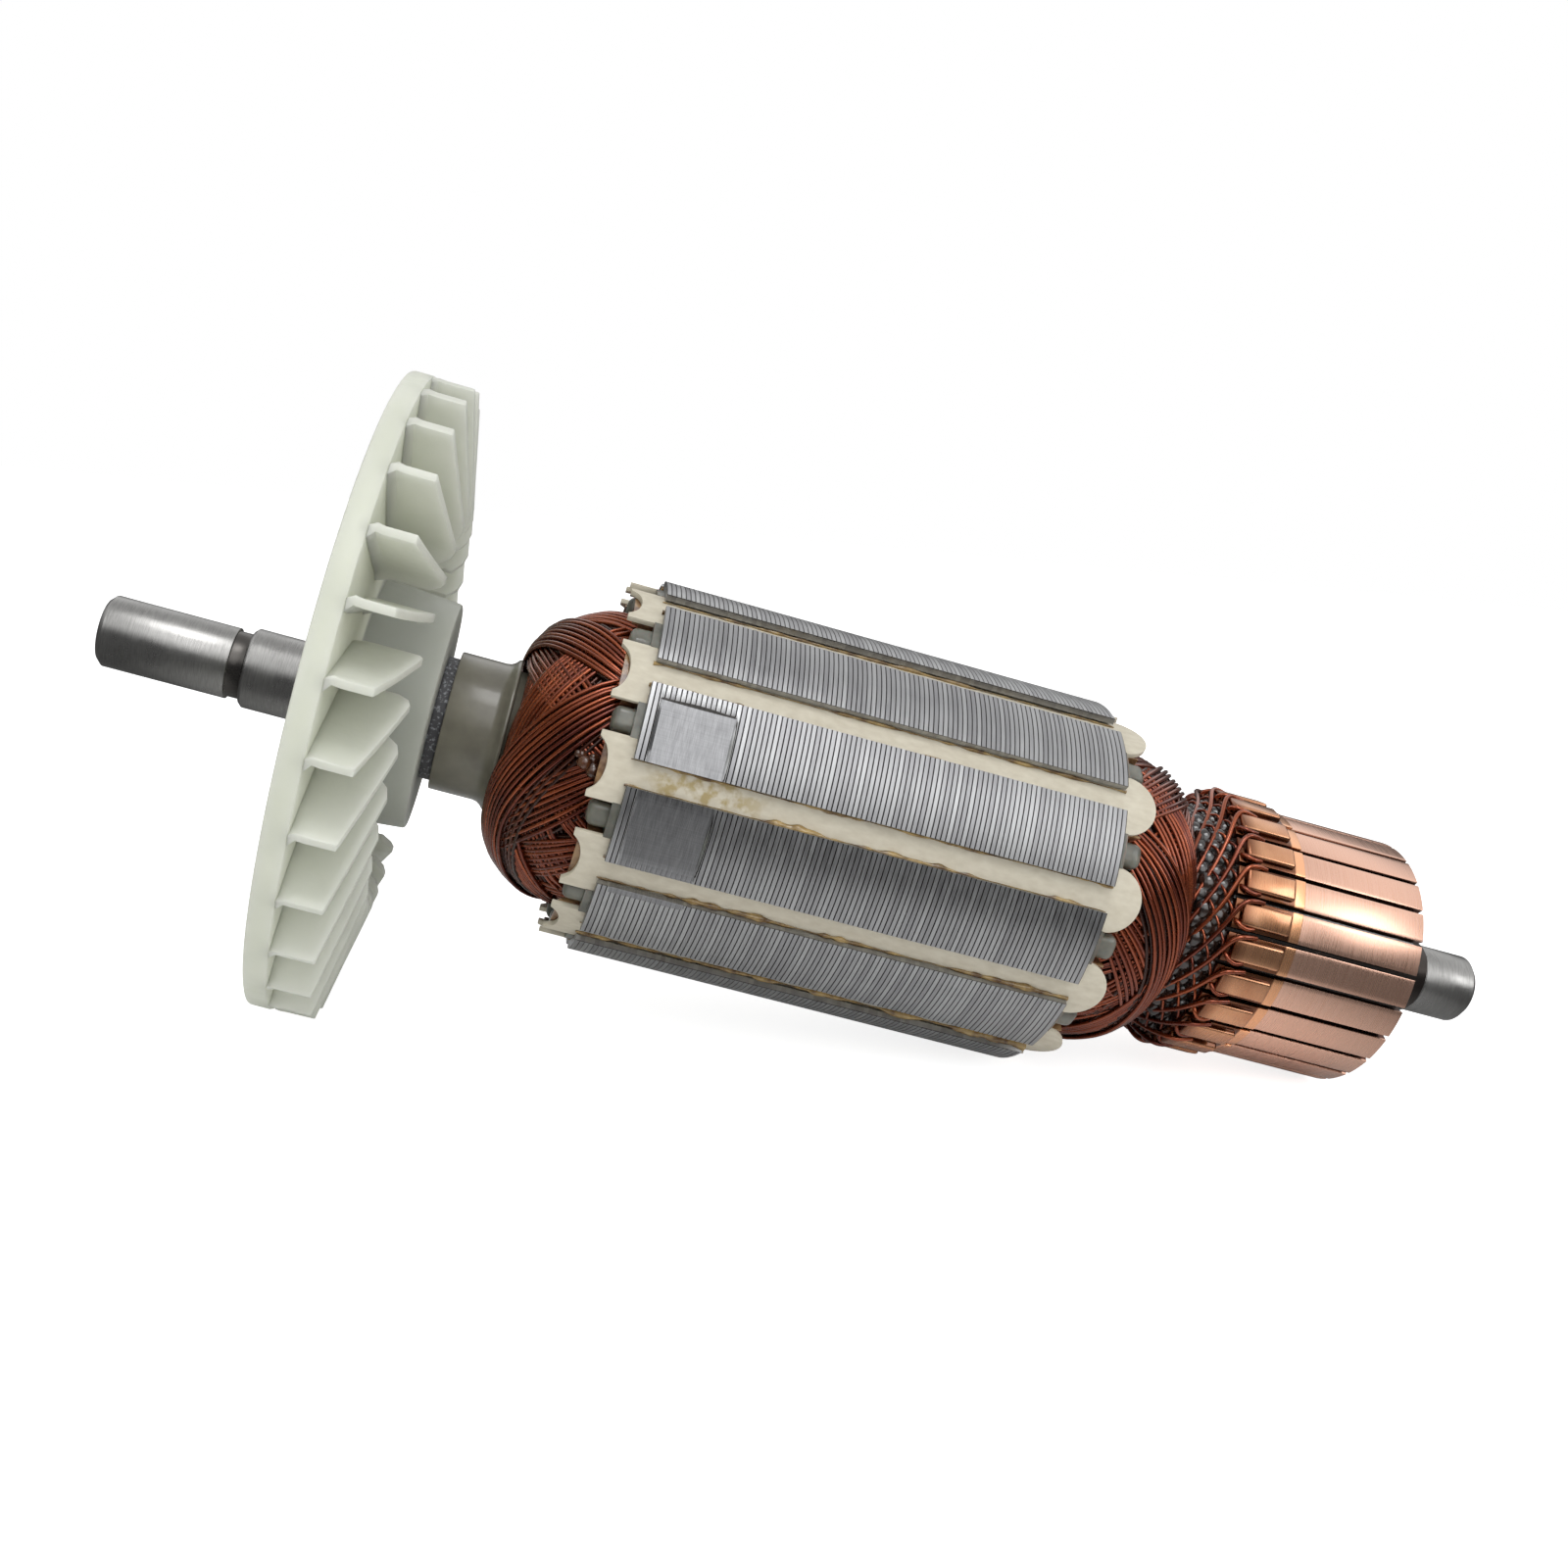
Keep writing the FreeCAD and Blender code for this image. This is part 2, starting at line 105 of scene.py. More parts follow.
def put(bm, name, material, nodes=(), sharp=35.0, normals=True):
    """Lays a shaped mesh on the bench and makes it a piece of the armature."""
    if normals:
        bmesh.ops.recalc_face_normals(bm, faces=bm.faces)
    bmesh.ops.transform(bm, matrix=bench, verts=bm.verts)
    mesh = kept(bm, name)
    mesh.shade_smooth()
    mesh.set_sharp_from_angle(angle=math.radians(sharp))
    piece = bpy.data.objects.new(name, mesh)
    bpy.context.scene.collection.objects.link(piece)
    mesh.materials.append(material)
    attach(piece, "root")
    if nodes:
        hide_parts(*nodes)


shaft_noise = bpy.data.node_groups.new("shaft_noise", "ShaderNodeTree")
for name, kind, value in (
        ("Place", "NodeSocketVector", None), ("Stretch", "NodeSocketVector", (1, 1, 1)),
        ("Scale", "NodeSocketFloat", 1.0), ("Detail", "NodeSocketFloat", 3.0),
        ("Roughness", "NodeSocketFloat", 0.5)):
    socket = shaft_noise.interface.new_socket(name, in_out="INPUT", socket_type=kind)
    if value:
        socket.default_value = value
shaft_noise.interface.new_socket("Value", in_out="OUTPUT", socket_type="NodeSocketFloat")
group_in = shaft_noise.nodes.new("NodeGroupInput")
group_out = shaft_noise.nodes.new("NodeGroupOutput")
stretched = shaft_noise.nodes.new("ShaderNodeVectorMath")
stretched.operation = "MULTIPLY"
texture = shaft_noise.nodes.new("ShaderNodeTexNoise")
shaft_noise.links.new(group_in.outputs["Place"], stretched.inputs[0])
shaft_noise.links.new(group_in.outputs["Stretch"], stretched.inputs[1])
shaft_noise.links.new(stretched.outputs[0], texture.inputs["Vector"])
for name in ("Scale", "Detail", "Roughness"):
    shaft_noise.links.new(group_in.outputs[name], texture.inputs[name])
shaft_noise.links.new(texture.outputs["Fac"], group_out.inputs["Value"])


shaft_place = bpy.data.node_groups.new("shaft_place", "ShaderNodeTree")
shaft_place.interface.new_socket("Object", in_out="INPUT", socket_type="NodeSocketVector")
shaft_place.interface.new_socket("Place", in_out="OUTPUT", socket_type="NodeSocketVector")
for name in ("Along", "Radius", "Angle"):
    shaft_place.interface.new_socket(name, in_out="OUTPUT", socket_type="NodeSocketFloat")
group_in = shaft_place.nodes.new("NodeGroupInput")
group_out = shaft_place.nodes.new("NodeGroupOutput")
laid = shaft_place.nodes.new("ShaderNodeMapping")
laid.inputs["Location"].default_value = Matrix.Rotation(-bench_tilt, 4, "Y") @ (bench_shift * -1000.0)
laid.inputs["Rotation"].default_value = (0.0, -bench_tilt, 0.0)
laid.inputs["Scale"].default_value = (1000.0, 1000.0, 1000.0)
parts = shaft_place.nodes.new("ShaderNodeSeparateXYZ")
flat = shaft_place.nodes.new("ShaderNodeVectorMath")
flat.operation = "MULTIPLY"
flat.inputs[1].default_value = (0.0, 1.0, 1.0)
away = shaft_place.nodes.new("ShaderNodeVectorMath")
away.operation = "LENGTH"
turned = shaft_place.nodes.new("ShaderNodeMath")
turned.operation = "ARCTAN2"
for source, target in (
        (group_in.outputs["Object"], laid.inputs["Vector"]),
        (laid.outputs["Vector"], parts.inputs["Vector"]),
        (laid.outputs["Vector"], flat.inputs[0]),
        (flat.outputs["Vector"], away.inputs[0]),
        (parts.outputs["Z"], turned.inputs[0]),
        (parts.outputs["Y"], turned.inputs[1]),
        (laid.outputs["Vector"], group_out.inputs["Place"]),
        (parts.outputs["X"], group_out.inputs["Along"]),
        (away.outputs["Value"], group_out.inputs["Radius"]),
        (turned.outputs["Value"], group_out.inputs["Angle"])):
    shaft_place.links.new(source, target)


class Finish:
    """A material's nodes, with the place along and round the shaft in millimetres."""

    def __init__(self, name, color, roughness, **plain):
        self.material = bpy.data.materials.new(name)
        self.material.use_nodes = True
        self.tree = self.material.node_tree
        self.shader = self.tree.nodes["Principled BSDF"]
        self.shader.inputs["Base Color"].default_value = (*color, 1.0)
        self.shader.inputs["Roughness"].default_value = roughness
        for socket, value in plain.items():
            self.shader.inputs[socket.replace("_", " ")].default_value = value
        spot = self.tree.nodes.new("ShaderNodeTexCoord").outputs["Object"]
        spun = self.node("ShaderNodeGroup", {"node_tree": shaft_place}, Object=spot).outputs
        self.place, self.along, self.radius, self.angle = spun

    def link(self, source, socket):
        """Joins an output to an input."""
        self.tree.links.new(source, socket)

    def feed(self, made, entries):
        """Links a node's inputs to their sources, or gives them plain values."""
        for key, value in entries:
            if isinstance(value, bpy.types.NodeSocket):
                self.link(value, made.inputs[key])
            else:
                made.inputs[key].default_value = value

    def node(self, kind, settings=None, **inputs):
        """New node with its settings and its named inputs."""
        made = self.tree.nodes.new(kind)
        for key, value in (settings or {}).items():
            setattr(made, key, value)
        self.feed(made, inputs.items())
        return made

    def math(self, operation, a, b=0.0):
        """Result of one operation on two values, each linked or plain."""
        made = self.node("ShaderNodeMath", {"operation": operation})
        self.feed(made, enumerate((a, b)))
        return made.outputs[0]

    def times(self, *masks):
        """Product of masks."""
        product = masks[0]
        for mask in masks[1:]:
            product = self.math("MULTIPLY", product, mask)
        return product

    def weighed(self, value, weight, other, other_weight):
        """Sum of two values with their weights."""
        return self.math("ADD", self.times(value, weight), self.times(other, other_weight))

    def ramp(self, value, low, high, to_low=0.0, to_high=1.0):
        """Value carried from one span to another and held at the span's ends."""
        made = self.node("ShaderNodeMapRange", {"clamp": True})
        self.feed(made, enumerate((value, low, high, to_low, to_high)))
        return made.outputs[0]

    def between(self, value, rise, risen, fall, fallen):
        """Mask that rises and falls again as a value grows."""
        return self.times(self.ramp(value, rise, risen), self.ramp(value, fall, fallen, 1.0, 0.0))

    def speckle(self, scale, detail=3.0, stretch=(1.0, 1.0, 1.0), roughness=0.5):
        """Noise in shaft millimetres, stretched along or round the shaft."""
        made = self.node("ShaderNodeGroup", {"node_tree": shaft_noise}, Place=self.place,
                         Stretch=stretch, Scale=scale, Detail=detail, Roughness=roughness)
        return made.outputs["Value"]

    def chance(self, number):
        """Random value that belongs to a number."""
        made = self.node("ShaderNodeTexWhiteNoise", {"noise_dimensions": "1D"}, W=number)
        return made.outputs["Value"]

    def mix(self, share, first, second):
        """Colour between two colours, each of them linked or plain."""
        made = self.node("ShaderNodeMix", {"data_type": "RGBA"})
        first, second = [(*end, 1.0) if isinstance(end, tuple) else end for end in (first, second)]
        self.feed(made, ((0, share), (6, first), (7, second)))
        return made.outputs[2]

    def shades(self, value, low, high, first, second):
        """Colour that goes from the first to the second as a value goes from low to high."""
        return self.mix(self.ramp(value, low, high), first, second)

    def color(self, source):
        """Gives the surface its colour."""
        self.link(source, self.shader.inputs["Base Color"])

    def rough(self, source):
        """Gives the surface its roughness."""
        self.link(source, self.shader.inputs["Roughness"])

    def bump(self, height, distance, strength=1.0):
        """Roughens the surface by a height, over a distance in millimetres."""
        made = self.node("ShaderNodeBump", Height=height, Distance=distance * 0.001,
                         Strength=strength)
        self.link(made.outputs["Normal"], self.shader.inputs["Normal"])


steel = Finish("ground_steel", (0.40, 0.40, 0.40), 0.3, Metallic=1.0)
rings = steel.speckle(3.0, 2.0, (4.0, 0.25, 0.25))
steel_grey = steel.shades(rings, 0.35, 0.65, (0.27, 0.267, 0.26), (0.35, 0.346, 0.337))
steel.rough(steel.ramp(steel.speckle(0.35), 0.3, 0.7, 0.24, 0.38))
steel.bump(rings, 0.01, 0.5)
sooted = steel.between(steel.along, 89.0, 89.5, 98.15, 98.2)
# Painted shade: the shaft's groove is coloured near black, as shade in the recess.
painted_groove_shade = steel.between(steel.along, -43.9, -43.75, -42.25, -42.1)
steel_grey = steel.mix(painted_groove_shade, steel_grey, (0.09, 0.085, 0.08))
steel.color(steel.mix(sooted, steel_grey, (0.07, 0.06, 0.055)))

shaft_outline = [
    (-58.0, 0.0), (-58.0, 3.4), (-57.4, 4.0), (-43.8, 4.0), (-43.8, 3.7), (-42.2, 3.7),
    (-42.2, 4.1), (-41.8, 4.5), (-32.0, 4.5), (-32.0, 5.0), (89.6, 5.0), (89.6, 4.3),
    (98.2, 4.3), (98.2, 3.9), (98.5, 3.9), (98.5, 4.0), (104.5, 4.0), (105.1, 3.4), (105.1, 0.0)]
bm = lathed(shaft_outline)
soften(bm, 0.12)
put(bm, "ground_shaft", steel.material, ["shaft"])


# Cooling fan: one moulding in milky nylon, a plate with a hub and thirty swept blades that
# stand on it like fins. It is pressed on the shaft against the spacer ring.
fan_radius = 35.7
rim_radius = fan_radius - 0.03
plate_back = -32.0
plate_front = -29.5
hub_front = -21.0
blade_count = 30
blade_thick = 0.9
blade_sweep = 12.4
blade_bow = 0.9
blade_inner = 20.4
peak_radius = 22.6
peak_height = 7.15
rim_height = 4.5
inner_drop = 1.55
inner_run = 2.2
blade_sunk = 0.05
foot_height = 0.45
foot_flare = 1.1


def blade_height(radius):
    """Height of a blade over the plate, with its peak near the inner end."""
    if radius > peak_radius:
        share = (fan_radius - radius) / (fan_radius - peak_radius)
        return rim_height + (peak_height - rim_height) * share
    return peak_height - inner_drop * ((peak_radius - radius) / inner_run) ** 1.5


def blade_angle(radius):
    """Angle of a blade's middle, swept back and a little bowed."""
    run = (fan_radius - radius) / (fan_radius - peak_radius)
    bow = math.degrees(4 * blade_bow * run * (1 - run) / radius) if run < 1 else 0.0
    return -blade_sweep * run + bow


nylon = Finish("milky_nylon", (0.62, 0.67, 0.56), 0.42, Subsurface_Weight=0.6,
               Subsurface_Scale=0.006, Subsurface_Radius=(1.0, 1.0, 0.9), IOR=1.45)
# The hub is painted a darker grey, as shade where it lies among the blades. The mask goes by radius alone,
# so the back of the plate shows this painted grey disc too.
painted_hub_shade = nylon.ramp(nylon.radius, 13.8, 15.2, 1.0, 0.0)
milky = nylon.shades(nylon.speckle(0.12), 0.3, 0.7, (0.61, 0.635, 0.535), (0.67, 0.69, 0.59))
nylon.color(nylon.mix(painted_hub_shade, milky, (0.37, 0.385, 0.34)))
nylon.rough(nylon.ramp(nylon.speckle(0.8, 4.0), 0.3, 0.7, 0.32, 0.5))
nylon.bump(nylon.speckle(0.6), 0.12, 0.35)

fan = lathed([
    (plate_back, 4.55), (hub_front, 5.05), (hub_front, 12.9), (plate_front, 13.6),
    (plate_front, rim_radius), (plate_back, rim_radius)], 120)
soften(fan, 0.3)
blade = bmesh.new()
bmesh.ops.create_grid(blade, x_segments=12, y_segments=6, size=0.5)
for v in blade.verts:
    radius = fan_radius + (blade_inner - fan_radius) * (v.co.x + 0.5)
    lean = math.degrees(math.asin(blade_thick / 2 / radius))
    height = blade_height(radius) * (v.co.y + 0.5)
    v.co = polar(plate_front - blade_sunk + height, radius, blade_angle(radius) + lean)
bmesh.ops.recalc_face_normals(blade, faces=blade.faces)
inward = sum(f.normal.z for f in blade.faces) < 0
bmesh.ops.solidify(blade, geom=blade.faces[:], thickness=blade_thick if inward else -blade_thick)
for v in blade.verts:
    foot = plate_front + foot_height - v.co.x
    if foot > 0:
        radius = math.hypot(v.co.y, v.co.z)
        middle = polar(v.co.x, radius, blade_angle(radius))
        v.co += (v.co - middle) * foot * foot_flare
soften(blade, 0.14, over=50.0)
blade_shape = kept(blade, "blade")
for i in range(blade_count):
    add_copy(fan, blade_shape, angle=360.0 / blade_count * i)
put(fan, "fan_moulding", nylon.material, ["cooling_fan"], sharp=40.0)


# Spacer ring: a thin dark ring of pressed resin between the fan's hub and the sleeve. It is
# rough, with light grains in it.
sleeve_left = -19.7

ring_resin = Finish("ring_resin", (0.16, 0.16, 0.17), 0.55)
grit = ring_resin.speckle(2.6, 2.0)
ring_resin.color(ring_resin.shades(grit, 0.55, 0.68, (0.06, 0.06, 0.065), (0.30, 0.31, 0.33)))
ring_resin.bump(grit, 0.08, 0.6)
bm = lathed([(hub_front, 5.02), (sleeve_left, 5.02), (sleeve_left, 7.0), (hub_front, 7.0)])
soften(bm, 0.12)
put(bm, "spacer_ring", ring_resin.material, ["fan_spacer_ring"])


# Insulating sleeve: grey plastic tube moulded on the shaft under core and windings. Its
# collar flares out where the winding begins, and varnish has run down on it in streaks.
sleeve_grey = Finish("sleeve_plastic", (0.30, 0.30, 0.27), 0.3, Coat_Weight=0.4, Coat_Roughness=0.15)
sleeve_grey.color(sleeve_grey.shades(sleeve_grey.speckle(0.25), 0.35, 0.7,
                                     (0.120, 0.112, 0.085), (0.175, 0.165, 0.128)))
sleeve_grey.bump(sleeve_grey.speckle(0.5, 2.0), 0.15, 0.35)
bm = lathed([
    (sleeve_left, 5.02), (sleeve_left, 7.9), (-14.6, 7.9), (-14.1, 8.0), (-13.7, 8.25),
    (-13.3, 8.7), (-12.9, 8.7), (-12.9, 7.45), (-0.8, 7.45), (-0.8, 6.38), (65.6, 6.38),
    (65.6, 5.02)])
soften(bm, 0.15, over=40.0)
put(bm, "sleeve_moulding", sleeve_grey.material, ["insulating_sleeve"])


# Core: ninety-seven stamped sheets of electrical steel, pressed on one behind another and
# turned to size, so each edge shows as a fine line. Two teeth are milled flat and a third is
# just touched, to balance the armature.
core_radius = 21.4
core_length = 51.4
sheet_count = 97
sheet_pitch = core_length / sheet_count
groove_depth = 0.07
groove_rise = 0.06
groove_fall = 0.10
tooth_count = 12
tooth_pitch = 30.0
tooth_phase = 6.27
slot_phase = tooth_phase + tooth_pitch / 2
tip_half_angle = 11.13
lip_thick = 0.7
lip_radius = 20.4
neck_half = 1.9
slot_floor = 11.4
flat_from = 1.3
flat_to = 9.25
flat_radius = 20.85
balance_flats = ((5, 0.35, 2.5), (6, 0.35, 0.0), (7, 0.15, -16.0))


def toothed(tip, lips, tip_steps):
    """Outline across the teeth as a closed loop of edges at x = 0."""
    bm = bmesh.new()
    half = tip_half_angle if lips else math.degrees(math.asin(neck_half / tip))
    side = []
    if lips:
        side = [(core_radius - lip_thick, half),
                (lip_radius, math.degrees(math.asin(neck_half / lip_radius)))]
    side.append((slot_floor, math.degrees(math.asin(neck_half / slot_floor))))
    chain = [(r, tooth_phase - a) for r, a in reversed(side)]
    chain += [(tip, tooth_phase - half + 2 * half * i / tip_steps) for i in range(tip_steps + 1)]
    chain += [(r, tooth_phase + a) for r, a in side]
    chain.append((slot_floor, tooth_phase + tooth_pitch - side[-1][1]))
    verts = [bm.verts.new(polar(0.0, r, a)) for r, a in chain]
    edges = [bm.edges.new(pair) for pair in zip(verts, verts[1:])]
    bmesh.ops.spin(bm, geom=verts + edges, cent=(0, 0, 0), axis=(1, 0, 0),
                   angle=math.radians(360.0 - tooth_pitch), steps=tooth_count - 1,
                   use_duplicate=True)
    bmesh.ops.remove_doubles(bm, verts=bm.verts, dist=1e-3)
    return bm


sheets = Finish("sheet_steel", (0.40, 0.41, 0.42), 0.36, Metallic=1.0)
tone = sheets.chance(sheets.math("FLOOR", sheets.math("DIVIDE", sheets.along, sheet_pitch)))
scuff = sheets.speckle(0.25, 3.0, (0.5, 1.0, 1.0))
grain = sheets.speckle(0.8, 2.0, (2.5, 0.6, 0.6))
edge_color = sheets.shades(sheets.weighed(tone, 0.5, scuff, 0.5), 0.2, 0.8,
                           (0.29, 0.29, 0.30), (0.43, 0.435, 0.44))
groove = sheets.between(sheets.radius, core_radius - 0.10, core_radius - 0.075,
                        core_radius - 0.05, core_radius - 0.015)
on_flat = sheets.between(sheets.along, flat_from - 0.1, flat_from, flat_to - 0.1, flat_to)
bow = sheets.times(sheets.math("SUBTRACT", sheets.along, 1.0), sheets.math("SUBTRACT", 9.5, sheets.along))
full_turn = 2 * math.pi
whole_angle = sheets.math("MODULO", sheets.math("ADD", sheets.angle, full_turn), full_turn)
bowed_edge = sheets.math("SUBTRACT", math.radians(149.6), sheets.times(bow, 0.0009))
past = sheets.math("SUBTRACT", whole_angle, bowed_edge)
past_edge = sheets.ramp(past, 0.0, 0.001)
flats = sheets.times(past_edge, sheets.ramp(whole_angle, math.radians(198.0), math.radians(198.1), 1.0, 0.0))
facet = sheets.between(whole_angle, *[math.radians(limit) for limit in (204.0, 204.1, 207.0, 207.1)])
milled = sheets.times(on_flat, sheets.math("MAXIMUM", flats, facet))
# Painted shadow: a thin dark crescent just past the bowed upper edge of the milled flat, where the step
# shades it.
painted_step_shadow = sheets.times(on_flat, past_edge, sheets.math("LESS_THAN", past, sheets.times(bow, 0.0010)))
dark = sheets.times(groove, sheets.math("SUBTRACT", 1.0, milled))
hatch = sheets.weighed(sheets.speckle(2.0, 3.0, (6.0, 0.3, 0.3)), 0.7,
                       sheets.speckle(1.5, 3.0, (0.1, 6.0, 6.0)), 0.3)
brushed = sheets.shades(hatch, 0.35, 0.65, (0.21, 0.21, 0.217), (0.30, 0.303, 0.31))
lit = sheets.mix(dark, sheets.mix(milled, edge_color, brushed), (0.035, 0.03, 0.028))
sheets.color(sheets.mix(painted_step_shadow, lit, (0.04, 0.038, 0.036)))
sheets.rough(sheets.ramp(grain, 0.3, 0.7, 0.28, 0.42))
sheets.bump(grain, 0.01, 0.4)

core = toothed(core_radius, True, 12)
loop = core.edges[:]
bmesh.ops.contextual_create(core, geom=loop)
bmesh.ops.scale(core, vec=(1, 1 - groove_depth / core_radius, 1 - groove_depth / core_radius),
                verts=core.verts)
sheet_steps = [(groove_rise, 1), (sheet_pitch - groove_rise - groove_fall, 0), (groove_fall, -1)]
for advance, change in sheet_steps * sheet_count:
    grown = bmesh.ops.extrude_edge_only(core, edges=loop)["geom"]
    ring = [g for g in grown if isinstance(g, bmesh.types.BMVert)]
    loop = [g for g in grown if isinstance(g, bmesh.types.BMEdge)
            and all(v in set(ring) for v in g.verts)]
    bmesh.ops.translate(core, vec=(advance, 0, 0), verts=ring)
    grow = (core_radius / (core_radius - groove_depth)) ** change
    bmesh.ops.scale(core, vec=(1, grow, grow), verts=ring)
bmesh.ops.contextual_create(core, geom=loop)
for tooth, depth, turn in balance_flats:
    middle = polar(0.0, 1.0, tooth_phase + tooth_pitch * tooth)
    toward = polar(0.0, 1.0, tooth_phase + tooth_pitch * tooth + turn)
    for v in core.verts:
        if flat_from <= v.co.x <= flat_to and v.co.dot(middle) > flat_radius:
            if v.co.dot(toward) > core_radius - depth:
                v.co -= toward * (v.co.dot(toward) - core_radius + depth)
put(core, "core_stack", sheets.material, ["laminated_core"], sharp=25.0)


# End insulators: a grey plastic star on each face of the core, with a round-nosed post under
# every tooth tip that keeps the turns off the steel. They are pressed on before the winding.
star_radius = 20.35
star_thick = 0.8
post_reach = 1.5
post_radius = 18.6

post_grey = Finish("post_plastic", (0.42, 0.43, 0.38), 0.35, Subsurface_Weight=0.2,
                   Subsurface_Scale=0.002, Coat_Weight=0.3)
post_grey.color(post_grey.shades(post_grey.speckle(0.5, 2.0), 0.35, 0.65,
                                 (0.10, 0.10, 0.082), (0.18, 0.18, 0.15)))
post_grey.bump(post_grey.speckle(0.8, 2.0), 0.1, 0.3)
post = rounded_block((3.0, 2.4, 2.7), 0.8, 4)
for name, face_x, side in (("drive_side", 0.0, -1), ("commutator_side", core_length, 1)):
    star = toothed(star_radius, False, 4)
    bmesh.ops.contextual_create(star, geom=star.edges[:])
    grown = bmesh.ops.extrude_face_region(star, geom=star.faces[:])["geom"]
    moved = [g for g in grown if isinstance(g, bmesh.types.BMVert)]
    bmesh.ops.translate(star, vec=(side * star_thick, 0, 0), verts=moved)
    bmesh.ops.translate(star, vec=(face_x, 0, 0), verts=star.verts)
    for i in range(tooth_count):
        add_copy(star, post, (face_x + side * post_reach, post_radius, 0), tooth_phase + tooth_pitch * i)
    put(star, f"insulator_star_{name}", post_grey.material,
        [f"end_insulator_{name}"])


# Slot wedges: strips of pale pressed board pushed along under the tooth lips to close the
# slots, notched like a fish tail at the drive end and round at the other. Amber varnish has
# soaked into their edges, and has spilled over one of them.
wedge_reach = 3.7
wedge_half = 3.5
wedge_radius = 20.3
wedge_thick = 0.6
notch_share = 0.75
spilled_slot = 25.0

board = Finish("wedge_board", (0.80, 0.77, 0.66), 0.6)
slots_round = board.math("DIVIDE", board.math("SUBTRACT", board.angle, math.radians(slot_phase)),
                         math.radians(tooth_pitch))
slots_round = board.math("ADD", slots_round, 20.5)
across = board.math("ABSOLUTE", board.math("SUBTRACT", board.math("FRACT", slots_round), 0.5))
ragged = board.weighed(across, 1.0, board.speckle(0.7, 4.0, roughness=0.65), 0.16)
inside = board.between(board.along, -0.5, 1.5, core_length - 1.5, core_length + 0.5)
soaked = board.times(board.ramp(ragged, 0.30, 0.34), inside)
fibre = board.speckle(1.5, 4.0, (0.5, 1.0, 1.0))
plain = board.shades(fibre, 0.3, 0.7, (0.57, 0.52, 0.41), (0.66, 0.615, 0.50))
spill = board.times(board.between(board.along, 1.0, 4.0, 11.0, 16.0),
                    board.math("COMPARE", board.math("FLOOR", slots_round), spilled_slot),
                    board.ramp(board.speckle(0.8, 5.0), 0.44, 0.60))
plain = board.mix(spill, plain, (0.42, 0.33, 0.16))
board.color(board.mix(soaked, plain, (0.20, 0.12, 0.035)))
board.rough(board.ramp(soaked, 0.0, 1.0, 0.6, 0.18))
board.bump(board.weighed(fibre, 0.3, soaked, 1.0), 0.12, 0.5)


def strip(x_left, x_right, half, radius, thick, notch, nose):
    """Sheet that follows the slots' mouth, notched or plain at its left end and round or plain at
    its right end."""
    bm = bmesh.new()
    bmesh.ops.create_grid(bm, x_segments=30, y_segments=20, size=0.5)
    for v in bm.verts:
        across = math.sin(math.pi * v.co.y)
        left = x_left + notch * math.sqrt(max(0.0, 1.0 - (across / notch_share) ** 2))
        right = x_right - nose * (1.0 - math.sqrt(max(0.0, 1.0 - across * across)))
        share = v.co.x + 0.5
        v.co = polar(left + share * (right - left), radius, math.degrees(across * half / radius))
    bmesh.ops.recalc_face_normals(bm, faces=bm.faces)
    outward = sum(f.normal.y for f in bm.faces) > 0
    bmesh.ops.solidify(bm, geom=bm.faces[:], thickness=thick if outward else -thick)
    soften(bm, 0.08, over=60.0)
    return kept(bm, "strip")


wedge_shape = strip(-wedge_reach, core_length + wedge_reach, wedge_half, wedge_radius, wedge_thick,
                    notch=1.3, nose=3.3)
for i in range(tooth_count):
    bm = bmesh.new()
    add_copy(bm, wedge_shape, angle=slot_phase + tooth_pitch * i)
    put(bm, f"board_wedge_{i + 1:02d}", board.material, [f"slot_wedge_{i + 1:02d}"])


# Slot liners: bent paper that stands out of each slot a little, brown and stiff with varnish.
# The liners themselves are dressed, and a flap is added at the drive end of each.
def dress(node, material):
    """Gives its look to a piece that is shown as it was built."""
    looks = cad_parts[node].data.materials
    looks.clear()
    looks.append(material)


liner = Finish("liner_paper", (0.22, 0.11, 0.04), 0.3, Coat_Weight=0.6, Coat_Roughness=0.1)
liner.color(liner.shades(liner.speckle(0.8), 0.35, 0.65, (0.10, 0.04, 0.02), (0.34, 0.20, 0.09)))
liner.bump(liner.speckle(0.9), 0.2, 0.6)
dress("slot_liners", liner.material)
flap_shape = strip(-3.1, -0.2, 3.3, 19.62, 0.22, notch=0.0, nose=0.0)
bm = bmesh.new()
for i in range(tooth_count):
    add_copy(bm, flap_shape, angle=slot_phase + tooth_pitch * i)
put(bm, "liner_flaps", liner.material)


# Windings: lap-wound coils of enamelled copper wire, about half a millimetre thick, each from
# one slot round the end of the sleeve to the fifth slot on. The flyer lays the turns side by
# side, and the heads are soaked in varnish, so they shine.
wire_radius = 0.245
wire_pitch = 0.64
coil_span = 5 * tooth_pitch
upper_wires = 9
lower_wires = 11
layer_drop = 0.6
slot_room = 3.4
head_steps = 16
head_drop = 5.0
turn_power = 1.3
bed_foot = 0.85
bed_end = 11.6
bed_inner = 7.5
bed_sunk = 2.2

enamel = Finish("wire_enamel", (0.36, 0.09, 0.035), 0.24, Metallic=0.8, Coat_Weight=0.6,
                Coat_Roughness=0.06)
each = enamel.node("ShaderNodeNewGeometry").outputs["Random Per Island"]
shade = enamel.weighed(enamel.speckle(0.12, 2.0), 0.6, each, 0.4)
enamel.color(enamel.shades(shade, 0.25, 0.75, (0.12, 0.016, 0.005), (0.36, 0.080, 0.023)))
enamel.rough(enamel.ramp(enamel.speckle(1.0, 2.0), 0.3, 0.7, 0.18, 0.30))

